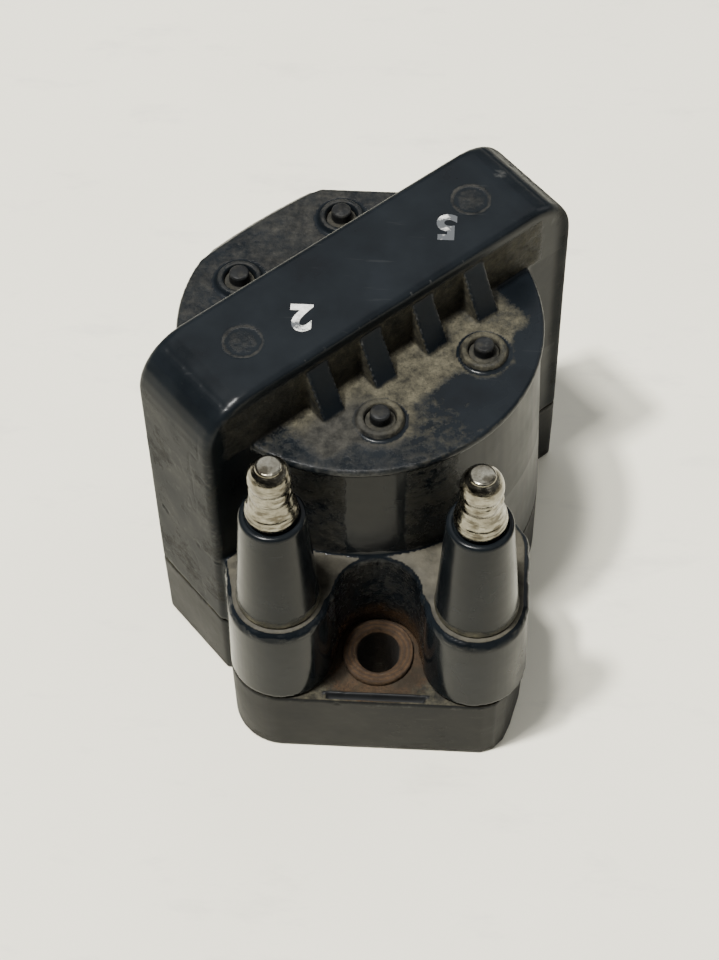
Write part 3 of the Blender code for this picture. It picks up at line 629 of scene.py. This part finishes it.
def build_tower(word, centre, seed):
    """A tapered insulator with a hollow rim at its top."""
    corners = [(6.4, 30.0), (6.4, 37.85), (7.56, 37.85), (7.36, 38.7), (5.79, 62.5),
               (5.45, Z_TOWER), (4.6, Z_TOWER), (4.6, 62.4)]
    obj = turned("tower_%s_skin" % word, centre, resampled(corners, 0.3, 0.35), 96)
    mesh = obj.data
    p, no = points_of(mesh), normals_of(mesh)
    z = p[:, 2]
    lift = 0.035 * value_noise(p, 8, seed, 2) + 0.008 * value_noise(p, 1.4, seed + 1, 2)
    set_points(mesh, p + no * lift[:, None])
    foot = ramp(z, 40.5, 38.0)
    set_masks(mesh, soil=foot * 0.55 + 0.10 + 0.10 * value_noise(p, 5, seed + 2, 3),
              wear=0.12 * value_noise(p, 4, seed + 3, 3))
    dress(obj, plastic_material("tower_" + word, (0.0052, 0.0066, 0.0080), 0.22, 7.0))
    settle(obj, ["tower_" + word])


# a post's outline, as (radius, z) in mm: stem, flange, ring grooves and domed head
POST = ((1.70, 58.3), (1.70, 63.2), (4.35, 63.2), (4.58, 63.5), (4.62, 64.2), (4.50, 64.6),
        (4.56, 64.9), (4.42, 65.25), (4.46, 65.5), (4.22, 65.9), (4.00, 66.6), (3.82, 67.5),
        (3.66, 68.3), (3.50, 68.7), (3.62, 69.2), (3.70, 69.9), (3.62, 70.6), (3.42, 71.2),
        (3.48, 71.7), (3.70, 72.3), (3.76, 73.0), (3.68, 73.9), (3.42, 74.8), (3.00, 75.5),
        (2.50, 76.0), (2.28, 76.15), (2.24, 76.45), (1.90, 76.65), (0.60, 76.75))


def build_post(word, centre, seed):
    """A plated post, uneven between its grooves."""
    obj = turned("post_%s_metal" % word, centre, resampled(POST, 0.12, 0.14), 80)
    mesh = obj.data
    p, no = points_of(mesh), normals_of(mesh)
    shown = ramp(p[:, 2], Z_TOWER, Z_TOWER + 0.5)
    lumpy = window(p[:, 2], 68.0, 71.8, 1.0)
    lift = (0.03 + 0.07 * lumpy) * value_noise(p, 2.2, seed, 2)
    lift -= 0.12 * lumpy * ramp(value_noise(p, 1.7, seed + 1, 1), 0.30, 0.75)
    set_points(mesh, p + no * (lift * shown)[:, None])
    dress(obj, nickel_material("nickel_" + word))
    settle(obj, ["post_" + word])


def build_bushing(word, amount, seed):
    """A steel bushing under an amount of rust from 0 to 1."""
    node = "bushing_" + word
    obj = shell(node + "_steel", node, 0.17, 1)
    mesh = obj.data
    p, no = points_of(mesh), normals_of(mesh)
    reach = near(p, middle(node))
    face = box_mm(node)[1][2]
    grooves = np.sin(reach * 8.0) * ramp(no[:, 2], 0.6, 0.9)
    lift = amount * (0.05 * value_noise(p, 0.9, seed, 3) + 0.02 * grooves)
    set_points(mesh, keep_inside(p + no * lift[:, None]))
    # the bore darkened with depth below its face: painted shade
    bore_shading = ramp(reach, 4.5, 4.2) * ramp(p[:, 2], face - 0.3, face - 1.4)
    set_masks(mesh, turn=reach / 10, deep=bore_shading)
    dress(obj, steel_material(node, (0.10, 0.070, 0.044), (0.060, 0.034, 0.016), amount, 0.5))
    settle(obj, [node])


def build_pin(i):
    """A pin end with the dirt packed round it in its ring boss."""
    profile = [(2.40, 64.35), (2.72, 65.3), (2.66, 65.72), (2.15, 65.86), (1.84, 66.0),
               (1.80, 67.8), (1.58, 68.14), (1.30, 68.20), (0.40, 68.22)]
    obj = turned("support_pin_%d_skin" % i, PINS[i - 1], resampled(profile, 0.10, 0.10), 64)
    p = points_of(obj.data)
    top = ramp(p[:, 2], 67.5, 68.0)
    low = ramp(p[:, 2], 66.3, 66.0)
    p[:, 2] += low * 0.10 * value_noise(p, 1.0, 90 + i, 2)
    set_points(obj.data, p)
    soil = 0.18 + 0.2 * value_noise(p, 1.4, 70 + i, 2) + 0.5 * low + 0.12 * top
    set_masks(obj.data, soil=soil, wear=0.30 * top, dim=np.full(len(p), 0.7))
    dress(obj, plastic_material("pin_%d" % i, (0.009, 0.0095, 0.010), 0.42, 2.0))
    settle(obj, ["support_pin_%d" % i])


# --- numerals --------------------------------------------------------------

def build_numeral(name, text, centre, wear):
    """A raised painted digit on the bar, its top towards the towers."""
    curve = bpy.data.curves.new(name + "_curve", "FONT")
    curve.body, curve.align_x, curve.align_y = text, "CENTER", "CENTER"
    curve.size = NUMERAL_SIZE * 1.38 * MM
    curve.extrude, curve.offset = 0.06 * MM, 0.30 * MM
    work = link(name + "_work", curve)
    work.matrix_world = (Matrix.Translation(Vector((centre[0], centre[1], Z_NUMERAL)) * MM)
                         @ Matrix.Rotation(math.pi, 4, "Z"))
    graph = bpy.context.evaluated_depsgraph_get()
    mesh = bpy.data.meshes.new_from_object(work.evaluated_get(graph))
    mesh.transform(work.matrix_world)
    bpy.data.objects.remove(work)
    work = link(name + "_mesh", mesh)
    remesh = work.modifiers.new("remesh", "REMESH")
    remesh.mode, remesh.voxel_size = "VOXEL", 0.05 * MM
    obj = baked(work, name)
    p = points_of(obj.data)
    worn = (wear + 0.50 * value_noise(p, 1.6, 80 + int(text), 3)
            + 0.25 * ramp(p[:, 1], centre[1] + 1, centre[1] - 3))
    set_masks(obj.data, worn=worn)
    set_points(obj.data, keep_inside(p))
    n = Nodes(name + "_paint")
    chip = n.cover(n.mask("worn"), n.noise(0.6, 6, 0.7), 0.12)
    paint = n.mix(n.span(n.noise(0.7, 4), 0.3, 0.7), (0.42, 0.42, 0.40), (0.78, 0.78, 0.74))
    dress(obj, n.finish(n.mix(chip, paint, (0.05, 0.055, 0.06)), 0.55,
                        [(n.noise(0.4, 4), 0.3, 0.05)]))
    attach(obj, "root")


build_housing()
build_tray()
build_tower("left", TOWER_L, 61)
build_tower("right", TOWER_R, 66)
build_post("left", TOWER_L, 101)
build_post("right", TOWER_R, 107)
build_bushing("front", 0.9, 111)
build_bushing("rear", 0.45, 115)
for index in (1, 2, 3, 4):
    build_pin(index)
build_numeral("numeral_left", "2", (-9.1, -7.6), 0.28)
build_numeral("numeral_right", "5", (14.7, 13.8), 0.64)

# pieces inside the housing keep their CAD shape
INNER = {
    "copper": grained_material("enamelled_copper", (0.42, 0.17, 0.06), (0.66, 0.32, 0.13),
                               0.28, 1.2, 1.0, (1, 1, 6)),
    "core": grained_material("core_sheet", (0.16, 0.16, 0.17), (0.34, 0.34, 0.35),
                             0.4, 1.5, 0.9),
    "bobbin": grained_material("bobbin_nylon", (0.50, 0.46, 0.38), (0.68, 0.64, 0.54),
                               0.5, 1.6),
    "case": grained_material("case_plastic_look", (0.020, 0.020, 0.022), (0.045, 0.045, 0.048),
                             0.45, 2.0),
    "resin": grained_material("resin_look", (0.05, 0.024, 0.012), (0.12, 0.06, 0.03),
                              0.22, 3.0),
    "board": grained_material("pressed_board", (0.42, 0.33, 0.18), (0.62, 0.52, 0.32),
                              0.8, 0.8),
    "brass": grained_material("tinned_brass", (0.52, 0.45, 0.28), (0.74, 0.68, 0.50),
                              0.28, 0.9, 1.0),
}
LOOK_OF = {"hv": "copper", "core_e": "core", "core_i": "core", "core_shim": "board",
           "primary_bobbin": "bobbin", "secondary_bobbin": "bobbin",
           "primary_winding": "copper", "secondary_section": "copper", "coil_case": "case",
           "potting": "resin", "terminal": "brass"}
for start, look in LOOK_OF.items():
    for node_name, node in NODES.items():
        if node_name.startswith(start):
            dress(node, INNER[look])


# --- floor, light, camera, in metres ---------------------------------------

WARM, COOL = (1.0, 0.985, 0.95), (0.96, 0.98, 1.0)
SENSOR = 36.0


def build_floor():
    """A pale, faintly smudged surface under the part."""
    mesh = bpy.data.meshes.new("floor")
    far = 1.6
    mesh.from_pydata([(-far, -far, 0), (far, -far, 0), (far, far, 0), (-far, far, 0)], [],
                     [(0, 1, 2, 3)])
    floor = link("floor", mesh)
    n = Nodes("plaster")
    blotch = n.noise(60, 4)
    colour = n.mix(n.span(blotch, 0.3, 0.7), (0.850, 0.820, 0.682), (0.890, 0.860, 0.722))
    smudge = n.span(n.noise(22, 8, 0.68, (0.6, 1.6, 1)), 0.56, 0.68, 0.0, 0.26)
    colour = n.mix(smudge, colour, (0.50, 0.48, 0.43))
    dress(floor, n.finish(colour, 0.75, [(n.noise(1.5, 4), 0.04, 0.1)], specular=0.3))


def area_light(name, place, height, size, watts, colour=(1, 1, 1)):
    """A rectangular light aimed at a height above the origin."""
    data = bpy.data.lights.new(name, "AREA")
    data.shape, data.size, data.size_y = "RECTANGLE", size[0], size[1]
    data.energy, data.color = watts, colour
    light = bpy.data.objects.new(name, data)
    SCENE.collection.objects.link(light)
    light.location = place
    aim = Vector((0, 0, height)) - Vector(place)
    light.rotation_mode = "QUATERNION"
    light.rotation_quaternion = aim.to_track_quat("-Z", "Y")


def build_sky():
    """A dim world that brightens to the right and towards the back."""
    world = bpy.data.worlds.new("studio")
    world.use_nodes = True
    sky = world.node_tree
    back = sky.nodes["Background"]
    back.inputs["Color"].default_value = (0.97, 0.985, 1.0, 1)
    split = sky.nodes.new("ShaderNodeSeparateXYZ")
    sky.links.new(sky.nodes.new("ShaderNodeTexCoord").outputs["Generated"], split.inputs[0])
    glow = sky.nodes.new("ShaderNodeMath")
    glow.operation = "MULTIPLY"
    spans = {"X": (-0.9, 0.9, 0.06, 0.34), "Y": (-0.75, 0.30, 0.15, 1.0)}
    for socket, (axis, span) in zip(glow.inputs, spans.items()):
        tilt = sky.nodes.new("ShaderNodeMapRange")
        for key, number in zip(("From Min", "From Max", "To Min", "To Max"), span):
            tilt.inputs[key].default_value = number
        sky.links.new(split.outputs[axis], tilt.inputs["Value"])
        sky.links.new(tilt.outputs["Result"], socket)
    sky.links.new(glow.outputs[0], back.inputs["Strength"])
    SCENE.world = world


def build_camera(place, lens, yaw, pitch, roll):
    """A camera turned by yaw from +y, tilted down by pitch and rolled, in degrees."""
    yaw, pitch, roll = (math.radians(angle) for angle in (yaw, pitch, roll))
    forward = Vector((math.sin(yaw) * math.cos(pitch), math.cos(yaw) * math.cos(pitch),
                      -math.sin(pitch)))
    level = Vector((math.cos(yaw), -math.sin(yaw), 0))
    upright = level.cross(forward)
    right = math.cos(roll) * level + math.sin(roll) * upright
    top = -math.sin(roll) * level + math.cos(roll) * upright
    data = bpy.data.cameras.new("camera")
    data.lens, data.sensor_width = lens, SENSOR
    data.clip_start, data.clip_end = 0.01, 10.0
    camera = bpy.data.objects.new("camera", data)
    SCENE.collection.objects.link(camera)
    rows = [(right[i], top[i], -forward[i], place[i]) for i in range(3)]
    camera.matrix_world = Matrix(rows + [(0, 0, 0, 1)])
    SCENE.camera = camera


build_floor()
build_sky()
area_light("key", (-0.45, -0.65, 1.60), 0.03, (1.3, 1.1), 4.0, (1.0, 0.985, 0.955))
area_light("fill", (0.9, -0.5, 1.3), 0.03, (1.2, 1.0), 2.5, (1.0, 0.99, 0.97))
area_light("lamp", (-0.44, -0.22, 1.55), 0.03, (0.10, 0.10), 40.0, WARM)
area_light("lamp_high", (-0.26, -0.18, 1.62), 0.03, (0.14, 0.14), 24.0, WARM)
area_light("back_card", (-0.05, 0.95, 1.35), 0.05, (1.5, 1.0), 6.5, COOL)
area_light("card", (0.95, 0.75, 0.75), 0.05, (0.5, 0.5), 2.0)
build_camera((0.020749, -0.262147, 0.394156), 89.70, -4.63, 54.88, -1.42)
